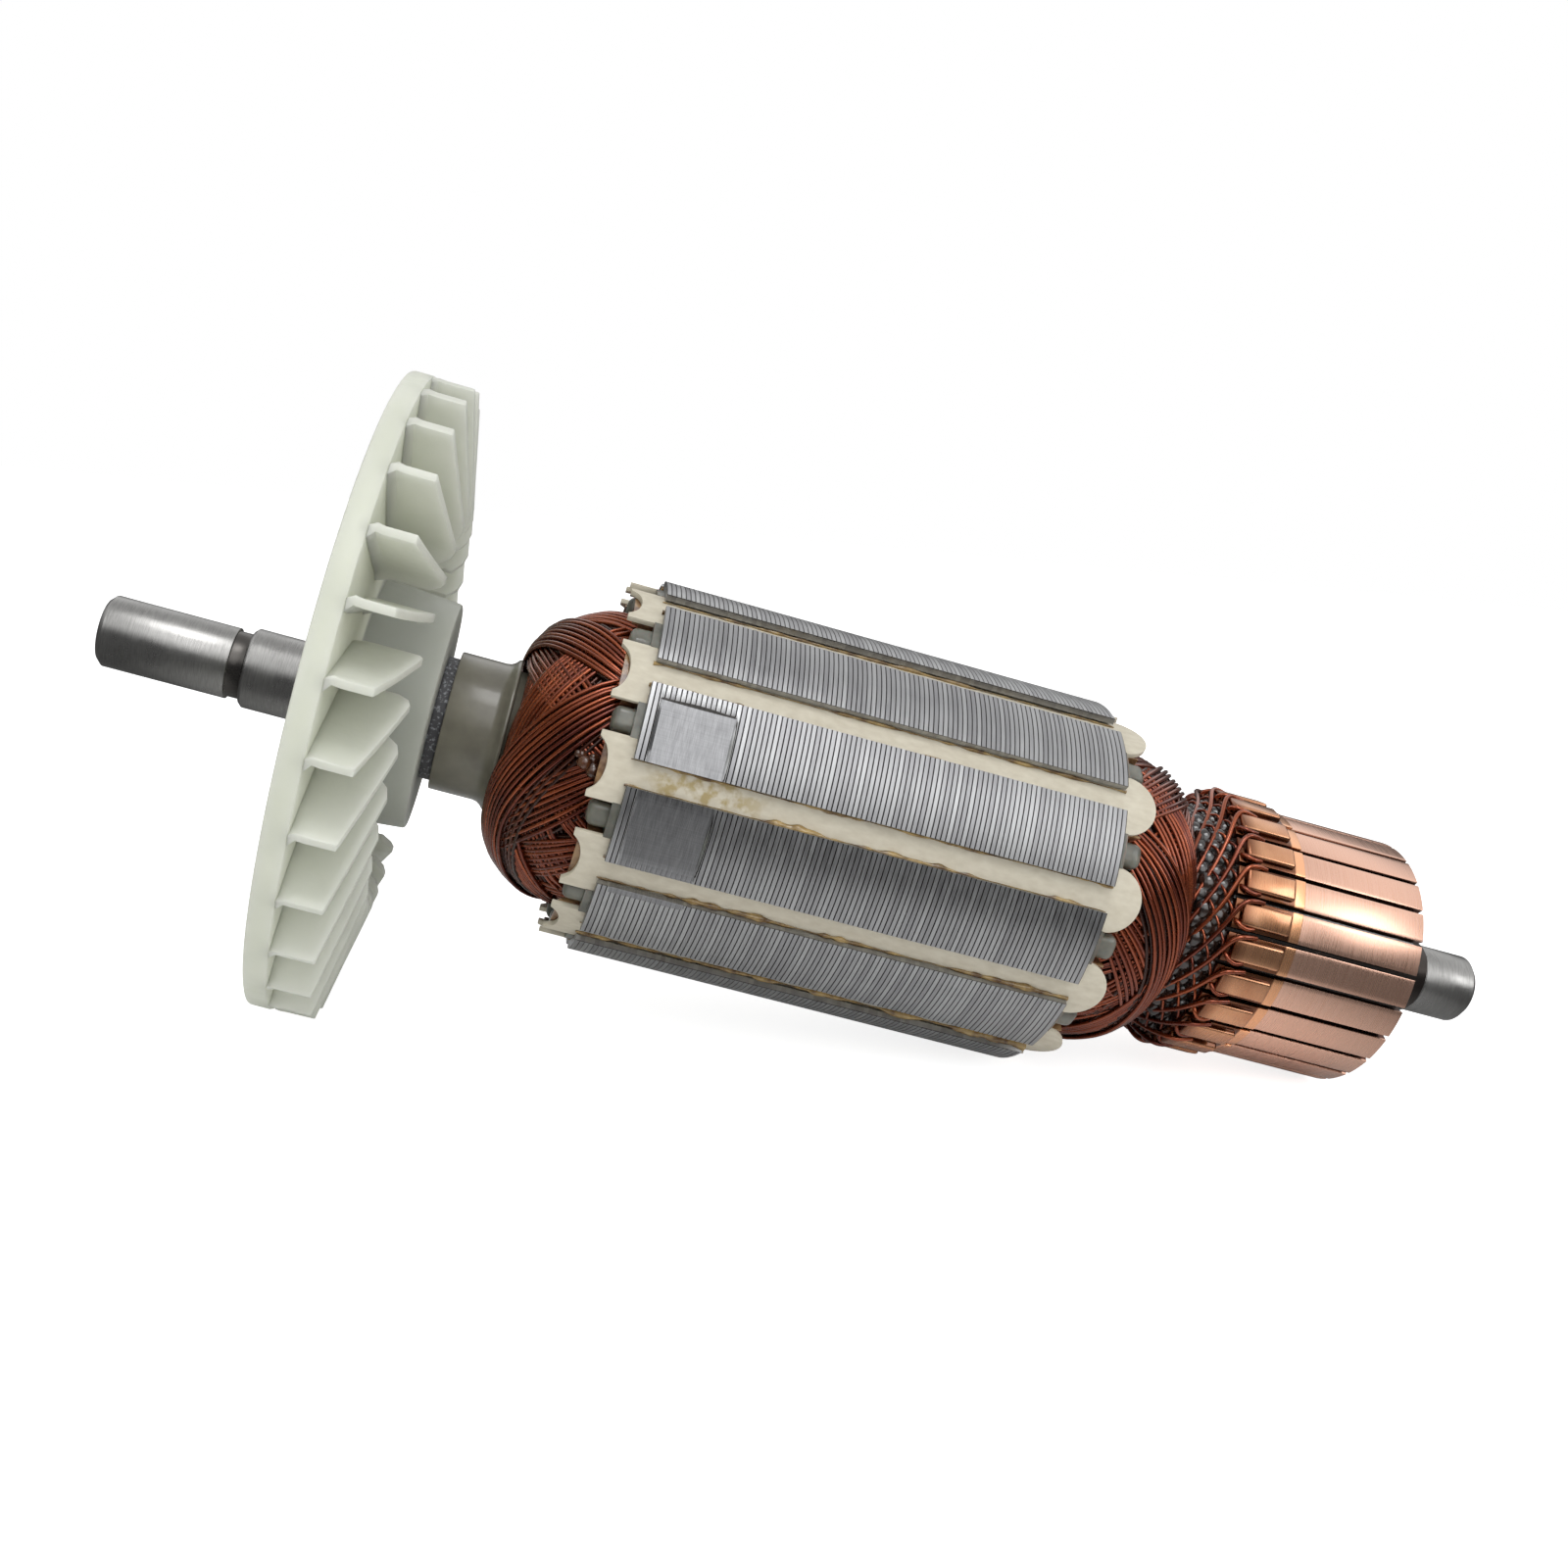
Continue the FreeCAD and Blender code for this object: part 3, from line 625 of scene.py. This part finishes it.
# Painted shade: the lower layer of each coil and the wires at the waist get a much darker enamel, as shade
# under the upper turns and the leads.
shaded_enamel = Finish("wire_enamel_painted_shade", (0.12, 0.028, 0.012), 0.3, Metallic=0.6, Coat_Weight=0.5,
              Coat_Roughness=0.1)
each = shaded_enamel.node("ShaderNodeNewGeometry").outputs["Random Per Island"]
shaded_enamel.color(shaded_enamel.mix(each, (0.025, 0.006, 0.003), (0.09, 0.021, 0.008)))
shaded_enamel.rough(shaded_enamel.ramp(shaded_enamel.speckle(1.0, 2.0), 0.3, 0.7, 0.22, 0.36))

soak = Finish("winding_varnish", (0.05, 0.018, 0.010), 0.2, Coat_Weight=0.8, Coat_Roughness=0.05)
soak.color(soak.shades(soak.speckle(0.6), 0.35, 0.65, (0.03, 0.010, 0.006), (0.10, 0.035, 0.015)))
soak.bump(soak.speckle(0.8), 0.3, 0.7)


def wires(name, routes, radius=wire_radius, swells=None):
    """Mesh of round wires, each along a smooth line through its route, in shaft millimetres."""
    curve = bpy.data.curves.new(name, "CURVE")
    curve.dimensions = "3D"
    curve.bevel_depth = radius
    curve.bevel_resolution = 1
    curve.use_fill_caps = True
    for number, route in enumerate(routes):
        spline = curve.splines.new("NURBS")
        spline.points.add(len(route) - 1)
        for k, (point, place) in enumerate(zip(spline.points, route)):
            point.co = (*place, 1.0)
            point.radius = swells[number][k] if swells else 1.0
        spline.order_u = 3
        spline.use_endpoint_u = True
        spline.resolution_u = 3
    holder = bpy.data.objects.new(name, curve)
    mesh = bpy.data.meshes.new_from_object(holder)
    bpy.data.objects.remove(holder)
    bpy.data.curves.remove(curve)
    bm = bmesh.new()
    bm.from_mesh(mesh)
    bpy.data.meshes.remove(mesh)
    return bm


def put_wires(bm, name, finish, nodes=()):
    """Makes a mesh of wires a piece, with its own normals."""
    put(bm, name, finish.material, nodes, sharp=80.0, normals=False)


def lay(path, face_x, side, run, angle, lift):
    """Point on a winding head at a run along its profile and an angle, lifted off it."""
    for (reach, radius), (next_reach, next_radius) in zip(path, path[1:]):
        leg = math.hypot(next_reach - reach, next_radius - radius)
        if run <= leg:
            break
        run -= leg
    share = min(run / leg, 1.0)
    out = Vector(((next_radius - radius) / -leg, (next_reach - reach) / leg))
    reach += share * (next_reach - reach) + lift * out.x
    radius += share * (next_radius - radius) + lift * out.y
    return polar(face_x + side * reach, radius, angle)


def head_routes(draw, path, face_x, side, first, lift, count):
    """Routes of one coil's turns over a winding head, side by side from slot to slot."""
    length = sum(math.dist(a, b) for a, b in zip(path, path[1:]))
    nose = length - wire_pitch * count / 2 - draw.uniform(0.2, 1.4)
    tight = slot_room / (count - 1) / wire_pitch
    routes = []
    for j in range(count):
        aside = (j - (count - 1) / 2) * wire_pitch
        stray = draw.uniform(-0.12, 0.12)
        route = []
        for k in range(head_steps + 1):
            half = min(k, head_steps - k) / (head_steps / 2)
            run = nose * math.sin(math.pi / 2 * half)
            turn = coil_span / 2 * half ** turn_power
            radius = path[0][1] - head_drop * half ** 2
            ahead = nose * math.pi / 2 * math.cos(math.pi / 2 * half)
            over = math.radians(coil_span / 2 * turn_power * half ** (turn_power - 1.0)) * radius
            size = math.hypot(ahead, over)
            spread = tight + (1.0 - tight) * min(half / 0.4, 1.0)
            offset = aside * spread + stray * math.sin(math.pi * half)
            depth = lift * min(half / 0.25, 1.0) - 0.5 * (j % 2) * max(0.0, 1.0 - half / 0.3)
            sway = math.degrees(offset * ahead / size / radius)
            angle = first + turn + sway if k <= head_steps / 2 else first + coil_span - turn - sway
            route.append(lay(path, face_x, side, max(run - offset * over / size, 0.0), angle, depth))
        routes.append(route)
    return routes


drive_path = [(-0.8, 17.0), (1.0, 17.1), (3.0, 17.4), (5.7, 16.7), (8.5, 15.3), (11.0, 13.2),
              (12.5, 10.7), (12.9, 9.0), (12.9, 7.9)]
far_path = [(-0.8, 17.0), (1.0, 17.1), (3.6, 17.4), (6.6, 17.3), (9.6, 16.4), (11.8, 14.7),
            (13.0, 12.8), (13.5, 11.4), (13.5, 10.4)]
heads = (("drive", 0.0, -1, drive_path), ("far", core_length, 1, far_path))
coil_lifts = [(-0.55, -0.6), (-1.0, -0.9), (-0.95, -0.8), (-0.5, -0.3), (0.25, 0.25), (-0.35, -0.5),
              (-0.85, -0.9), (-1.1, -1.0), (-1.0, -1.1), (-0.9, -0.8), (-0.4, -0.6), (-0.05, -0.2)]
for i, lifts in enumerate(coil_lifts):
    draw = random.Random(40 + i)
    first = slot_phase + tooth_pitch * i
    upper = []
    lower = []
    for (_, face_x, side, path), lift in zip(heads, lifts):
        upper += head_routes(draw, path, face_x, side, first, lift, upper_wires)
        lower += head_routes(draw, path, face_x, side, first, lift - layer_drop, lower_wires)
    put_wires(wires("coil", upper), f"coil_wires_{i + 1:02d}", enamel, [f"coil_{i + 1:02d}"])
    put_wires(wires("coil", lower), f"coil_lower_wires_{i + 1:02d}", shaded_enamel)
for name, face_x, side, path in heads:
    outline = [(face_x + side * bed_foot, bed_inner)]
    outline += [(face_x + side * max(reach - 1.2, bed_foot), radius - bed_sunk)
                for reach, radius in path[1:-1]]
    outline.append((face_x + side * bed_end, bed_inner))
    bed = lathed(outline, 72)
    put(bed, f"winding_varnish_{name}", soak.material, sharp=60.0)


# Varnish: amber runs that set in the corner between each wedge and the tooth lips, thick in
# some places and hardly there in others. The armature is dipped, and they are left as they ran.
run_steps = 65
run_radius = 20.42
run_aside = 3.75

amber = Finish("amber_varnish", (0.34, 0.20, 0.07), 0.14, Coat_Weight=0.5, Coat_Roughness=0.05)
amber.color(amber.shades(amber.speckle(0.6), 0.35, 0.65, (0.10, 0.05, 0.015), (0.42, 0.29, 0.11)))
amber.bump(amber.speckle(1.2), 0.2, 0.7)
run_routes = []
run_swells = []
for i in range(tooth_count):
    for side in (-1, 1):
        draw = random.Random(900 + 2 * i + side)
        heavy = 1.9 if side > 0 else 1.0
        route = []
        swell = []
        for k in range(run_steps + 1):
            x = -0.2 + (core_length + 0.4) * k / run_steps
            lump = 1.9 * noise.noise(Vector((x * 0.16, i * 7.3, side * 3.1))) + 0.6 * draw.uniform(-1, 1)
            aside = side * (run_aside + draw.uniform(-0.12, 0.12))
            route.append(polar(x, run_radius, slot_phase + tooth_pitch * i + aside))
            swell.append(max(0.2, heavy * (0.4 + 0.9 * lump)))
        run_routes.append(route)
        run_swells.append(swell)
put_wires(wires("runs", run_routes, 0.24, run_swells), "varnish_runs", amber)


# Commutator body: dark moulded resin that grips the copper bars and insulates them from the
# shaft. A cone at its back carries the leads.
resin = Finish("moulded_resin", (0.012, 0.010, 0.010), 0.15, Coat_Weight=0.9, Coat_Roughness=0.04)
resin.color(resin.shades(resin.speckle(0.5), 0.4, 0.7, (0.008, 0.007, 0.007), (0.030, 0.014, 0.008)))
resin.bump(resin.speckle(0.9), 0.25, 0.6)
dress("commutator_body", resin.material)


# Commutator bars: drawn copper segments with a tab folded back over the lead and fused down.
# The front of the track is turned bright; behind it the copper is brown under varnish, and painted darker
# still as shade on the hooks' side walls and between the hooks.
bar_count = 24
bar_pitch = 15.0
bar_half_angle = 6.5
bars_left = 68.1
bars_right = 90.2
bar_radius = 14.55
gap_phase = 5.52
turned_from = 75.9
unturned_left = bars_left + 0.8
unturned_radius = bar_radius + 0.2
hook_left = 68.7
hook_size = (5.7, 2.3, 2.5)
hook_top = bar_radius + 0.95

copper = Finish("turned_copper", (0.80, 0.48, 0.36), 0.25, Metallic=1.0, Coat_Roughness=0.08)
turning = copper.speckle(1.0, 3.0, (9.0, 0.15, 0.15))
stain = copper.speckle(0.3, 4.0)
bar_index = copper.math("FLOOR", copper.math(
    "DIVIDE", copper.math("SUBTRACT", copper.angle, math.radians(gap_phase)), math.radians(bar_pitch)))
bright = copper.shades(turning, 0.35, 0.65, (0.78, 0.47, 0.35), (0.83, 0.52, 0.40))
bright = copper.mix(copper.times(copper.chance(bar_index), 0.25), bright, (0.66, 0.38, 0.28))
on_hook = copper.ramp(copper.radius, bar_radius + 0.55, bar_radius + 0.85)
# Below the hook tops the colour is varnished brown copper with painted shade, dark on the hooks' side walls
# and between them.
varnish_and_painted_shade = copper.shades(stain, 0.3, 0.7, (0.10, 0.028, 0.010), (0.22, 0.08, 0.03))
tab = copper.shades(stain, 0.3, 0.7, (0.50, 0.22, 0.11), (0.68, 0.35, 0.19))
# Painted shade: the hook's folded left end goes dark brown, where the fold turns away from the light.
tab = copper.shades(copper.along, 69.0, 70.3, (0.24, 0.09, 0.04), tab)
varnished = copper.mix(on_hook, varnish_and_painted_shade, tab)
varnished = copper.shades(copper.along, turned_from - 1.3, turned_from - 1.1, varnished,
                          (0.92, 0.46, 0.24))
wavy = copper.weighed(copper.along, 1.0, copper.speckle(0.4, 2.0), 0.4)
behind = copper.ramp(wavy, turned_from + 0.1, turned_from + 0.3, 1.0, 0.0)
walls = copper.ramp(copper.radius, bar_radius - 0.25, bar_radius - 0.1, 1.0, 0.0)
copper.color(copper.mix(walls, copper.mix(behind, bright, varnished), (0.09, 0.03, 0.018)))
copper.rough(copper.ramp(turning, 0.3, 0.7, 0.25, 0.31))
copper.bump(turning, 0.004, 0.3)
copper.link(copper.times(behind, 0.5), copper.shader.inputs["Coat Weight"])


def sector(x_left, x_right, inner, outer, half_angle, rounding):
    """Wedge of a ring with rounded edges."""
    bm = bmesh.new()
    outline = [(x_left, inner), (x_right, inner), (x_right, outer), (x_left, outer)]
    corners = [bm.verts.new(polar(x, r, -half_angle)) for x, r in outline]
    edges = [bm.edges.new(pair) for pair in zip(corners, corners[1:] + corners[:1])]
    bmesh.ops.spin(bm, geom=corners + edges, cent=(0, 0, 0), axis=(1, 0, 0),
                   angle=math.radians(2 * half_angle), steps=6)
    bmesh.ops.holes_fill(bm, edges=[e for e in bm.edges if e.is_boundary], sides=0)
    bmesh.ops.recalc_face_normals(bm, faces=bm.faces)
    soften(bm, rounding, over=50.0)
    return kept(bm, "sector")


bar = bmesh.new()
add_copy(bar, sector(bars_left, bars_right, 10.2, bar_radius, bar_half_angle, 0.07))
add_copy(bar, sector(unturned_left, turned_from, 13.0, unturned_radius, bar_half_angle, 0.09))
add_copy(bar, rounded_block(hook_size, 0.32, 3),
         (hook_left + hook_size[0] / 2, hook_top - hook_size[2] / 2, 0))
bar_shape = kept(bar, "bar")
for i in range(bar_count):
    bm = bmesh.new()
    add_copy(bm, bar_shape, angle=gap_phase + bar_pitch * (i + 0.5))
    put(bm, f"bar_{i + 1:02d}", copper.material, [f"commutator_bar_{i + 1:02d}"],
        normals=False)


# Leads: single wires that come up from the waist of the winding to the flank of each hook, and
# a small loop at its other flank. Thin tie wires cross them, with beads of black resin between.
lead_stations = (
    (61.0, 15.2, 86.0, 0), (62.4, 13.6, 70.0, 1), (63.4, 12.3, 55.0, 1), (64.4, 12.0, 42.0, 1),
    (65.5, 12.4, 30.0, 1), (66.5, 13.1, 19.0, 0), (67.4, 14.0, 8.5, 0), (68.1, 14.9, -1.0, 0),
    (68.7, 15.4, -5.0, 0), (69.7, 15.45, -6.2, 0), (71.0, 15.0, -6.4, 0))
loop_stations = (
    (70.4, 14.95, 5.2), (69.6, 15.2, 6.2), (68.8, 15.2, 5.2), (68.3, 14.7, 3.0), (68.4, 13.9, 2.0))
swirl_stations = (
    (58.0, 16.8, 0.0), (60.6, 15.4, -16.0), (62.4, 13.6, -34.0), (63.6, 12.4, -52.0),
    (64.4, 11.9, -68.0), (64.8, 11.7, -82.0))
swirl_count = 60
rung_shares = (0.30, 0.55, 0.80)
rung_out = 12.75
bead_out = 10.95
beads_in_gap = 5
cone_left = 65.2
cone_run = 3.2
cone_rise = 1.9
cone_lean = 33.0

lead_routes = []
for i in range(bar_count):
    middle = gap_phase + bar_pitch * (i + 0.5)
    draw = random.Random(300 + i)
    slack = draw.uniform(-1.5, 1.5)
    lead_routes.append([polar(x, radius, middle + turn + slack * loose)
                        for x, radius, turn, loose in lead_stations])
    lead_routes.append([polar(x, radius, middle + turn) for x, radius, turn in loop_stations])
put_wires(wires("lead_wires", lead_routes, 0.28), "lead_wires", enamel, ["coil_leads"])

rung_routes = []
for i in range(bar_count):
    for share in rung_shares:
        foot = gap_phase + bar_pitch * (i + 1) + cone_lean * (1.0 - share)
        out = rung_out + cone_rise * share
        left = cone_left + cone_run * share
        rung_routes.append([
            polar(left - 0.2, out - 0.5, foot - 4.2), polar(left, out, foot - 1.8),
            polar(left + 0.3, out, foot + 1.2), polar(left + 0.5, out - 0.7, foot + 3.4)])
put_wires(wires("rungs", rung_routes, 0.17), "tie_wires", enamel)

swirl_routes = []
for i in range(swirl_count):
    draw = random.Random(500 + i)
    begin = 360.0 / swirl_count * i + draw.uniform(-2, 2)
    drop = draw.uniform(0.0, 0.5)
    swirl_routes.append([polar(x, radius - drop, begin + turn) for x, radius, turn in swirl_stations])
put_wires(wires("swirl", swirl_routes), "waist_wires", shaded_enamel)

beads = bmesh.new()
draw = random.Random(7)
for i in range(bar_count):
    for k in range(beads_in_gap):
        share = (k + 0.4) / beads_in_gap
        spot = polar(cone_left + cone_run * share, bead_out + cone_rise * share,
                     gap_phase + bar_pitch * (i + 1) + cone_lean * (1 - share) + draw.uniform(-0.6, 0.6))
        bead = bmesh.ops.create_icosphere(beads, subdivisions=2, radius=draw.uniform(1.25, 1.5))
        bmesh.ops.translate(beads, vec=spot, verts=bead["verts"])
put(beads, "resin_beads", resin.material, sharp=80.0)


# Varnish lump: a knot of small drops of winding varnish that set on the head at the drive
# side, between the wedge and the turns.
lump_count = 14
lump_x, lump_radius, lump_angle = -4.3, 17.3, 173.0

lumps = bmesh.new()
draw = random.Random(11)
for i in range(lump_count):
    lump = bmesh.ops.create_icosphere(lumps, subdivisions=2, radius=draw.uniform(0.35, 0.8))
    spot = polar(lump_x + draw.uniform(-1.0, 1.0), lump_radius + draw.uniform(-0.3, 0.2),
                 lump_angle + draw.uniform(-3.5, 3.5))
    bmesh.ops.translate(lumps, vec=spot, verts=lump["verts"])
put(lumps, "varnish_lump", soak.material, sharp=80.0)


# Floor, lamps and camera: a white table under plain soft light, seen from the photograph's
# place in front of the core and a little above it.
def graded(tree, value, *limits):
    """Value carried from one span to another, given as two limits from and two limits to."""
    made = tree.nodes.new("ShaderNodeMapRange")
    tree.links.new(value, made.inputs["Value"])
    for index, limit in enumerate(limits, 1):
        made.inputs[index].default_value = limit
    return made.outputs[0]


def product(tree, value, factor):
    """Product of a linked value and a factor, linked or plain."""
    made = tree.nodes.new("ShaderNodeMath")
    made.operation = "MULTIPLY"
    tree.links.new(value, made.inputs[0])
    if isinstance(factor, bpy.types.NodeSocket):
        tree.links.new(factor, made.inputs[1])
    else:
        made.inputs[1].default_value = factor
    return made.outputs[0]


floor = bmesh.new()
bmesh.ops.create_grid(floor, x_segments=1, y_segments=1, size=3.0)
table = bpy.data.objects.new("floor", kept(floor, "floor"))
bpy.context.scene.collection.objects.link(table)
white = bpy.data.materials.new("white_table")
white.use_nodes = True
tree = white.node_tree
tree.nodes.clear()
output = tree.nodes.new("ShaderNodeOutputMaterial")
rays = tree.nodes.new("ShaderNodeLightPath").outputs
paper = tree.nodes.new("ShaderNodeBsdfDiffuse")
paper_shade = tree.nodes.new("ShaderNodeMix")
paper_shade.data_type = "RGBA"
paper_shade.inputs[6].default_value = (0.9, 0.9, 0.9, 1.0)
spot = tree.nodes.new("ShaderNodeTexCoord")
away = tree.nodes.new("ShaderNodeVectorMath")
away.operation = "LENGTH"
tree.links.new(spot.outputs["Object"], away.inputs[0])
reflected_shade = graded(tree, away.outputs["Value"], 0.055, 0.095, 0.95, 0.16)
glow = tree.nodes.new("ShaderNodeEmission")
glow.inputs["Color"].default_value = (1.0, 1.0, 1.0, 1.0)
both = tree.nodes.new("ShaderNodeAddShader")
for source, target in (
        (reflected_shade, paper_shade.inputs[7]),
        (rays["Is Glossy Ray"], paper_shade.inputs[0]),
        (paper_shade.outputs[2], paper.inputs["Color"]),
        (product(tree, rays["Is Camera Ray"], 0.80), glow.inputs["Strength"]),
        (paper.outputs[0], both.inputs[0]),
        (glow.outputs[0], both.inputs[1]),
        (both.outputs[0], output.inputs["Surface"])):
    tree.links.new(source, target)
table.data.materials.append(white)

world = bpy.data.worlds.new("studio")
bpy.context.scene.world = world
world.use_nodes = True
tree = world.node_tree
back = tree.nodes["Background"]
back.inputs["Color"].default_value = (1.0, 1.0, 1.0, 1.0)
rays = tree.nodes.new("ShaderNodeLightPath").outputs
seen = tree.nodes.new("ShaderNodeMath")
seen.operation = "MAXIMUM"
direction = tree.nodes.new("ShaderNodeTexCoord")
height = tree.nodes.new("ShaderNodeSeparateXYZ")
tree.links.new(direction.outputs["Generated"], height.inputs[0])
reflected = graded(tree, height.outputs["Z"], 0.25, 0.50, 0.12, 1.15)
overhead = graded(tree, height.outputs["Z"], 0.65, 0.95, 1.0, 0.62)
sky = tree.nodes.new("ShaderNodeMix")
sky.inputs["A"].default_value = 0.50
brightness = tree.nodes.new("ShaderNodeMix")
brightness.inputs["B"].default_value = 1.0
for source, target in (
        (rays["Is Camera Ray"], seen.inputs[0]),
        (rays["Is Transmission Ray"], seen.inputs[1]),
        (rays["Is Glossy Ray"], sky.inputs["Factor"]),
        (product(tree, reflected, overhead), sky.inputs["B"]),
        (seen.outputs[0], brightness.inputs["Factor"]),
        (sky.outputs[0], brightness.inputs["A"]),
        (brightness.outputs[0], back.inputs["Strength"])):
    tree.links.new(source, target)

for name, place, size, power in (
        ("lamp_over", (0.02, -0.30, 0.70), 0.32, 1.6),
        ("lamp_left", (-0.70, -0.35, 0.45), 0.30, 0.5),
        ("lamp_right", (0.65, -0.45, 0.35), 0.30, 0.9),
        ("lamp_front", (0.10, -0.68, 0.42), 0.60, 1.2)):
    light = bpy.data.lights.new(name, "AREA")
    light.size = size
    light.energy = power
    lamp = bpy.data.objects.new(name, light)
    bpy.context.scene.collection.objects.link(lamp)
    lamp.location = place
    lamp.rotation_euler = (Vector((0, 0, 0.03)) - Vector(place)).to_track_quat("-Z", "Y").to_euler()

photo_width = 1600.0
focal_length = 1533.27
centre_across = 643.66
centre_down = 835.06
eye_place = (-0.031283, -0.167932, 0.060534)
eye = bpy.data.cameras.new("camera")
camera = bpy.data.objects.new("camera", eye)
bpy.context.scene.collection.objects.link(camera)
right = Vector((0.994925, -0.042611, 0.091149))
up = Vector((-0.080018, 0.214119, 0.973525))
facing = Matrix((right, up, right.cross(up))).transposed()
camera.matrix_world = Matrix.Translation(eye_place) @ facing.to_4x4()
eye.sensor_width = 36.0
eye.lens = eye.sensor_width * focal_length / photo_width
eye.shift_x = (photo_width / 2 - centre_across) / photo_width
eye.shift_y = -(photo_width / 2 - centre_down) / photo_width
eye.clip_start = 0.01
eye.clip_end = 10.0
bpy.context.scene.camera = camera
bpy.context.scene.view_settings.view_transform = "Standard"
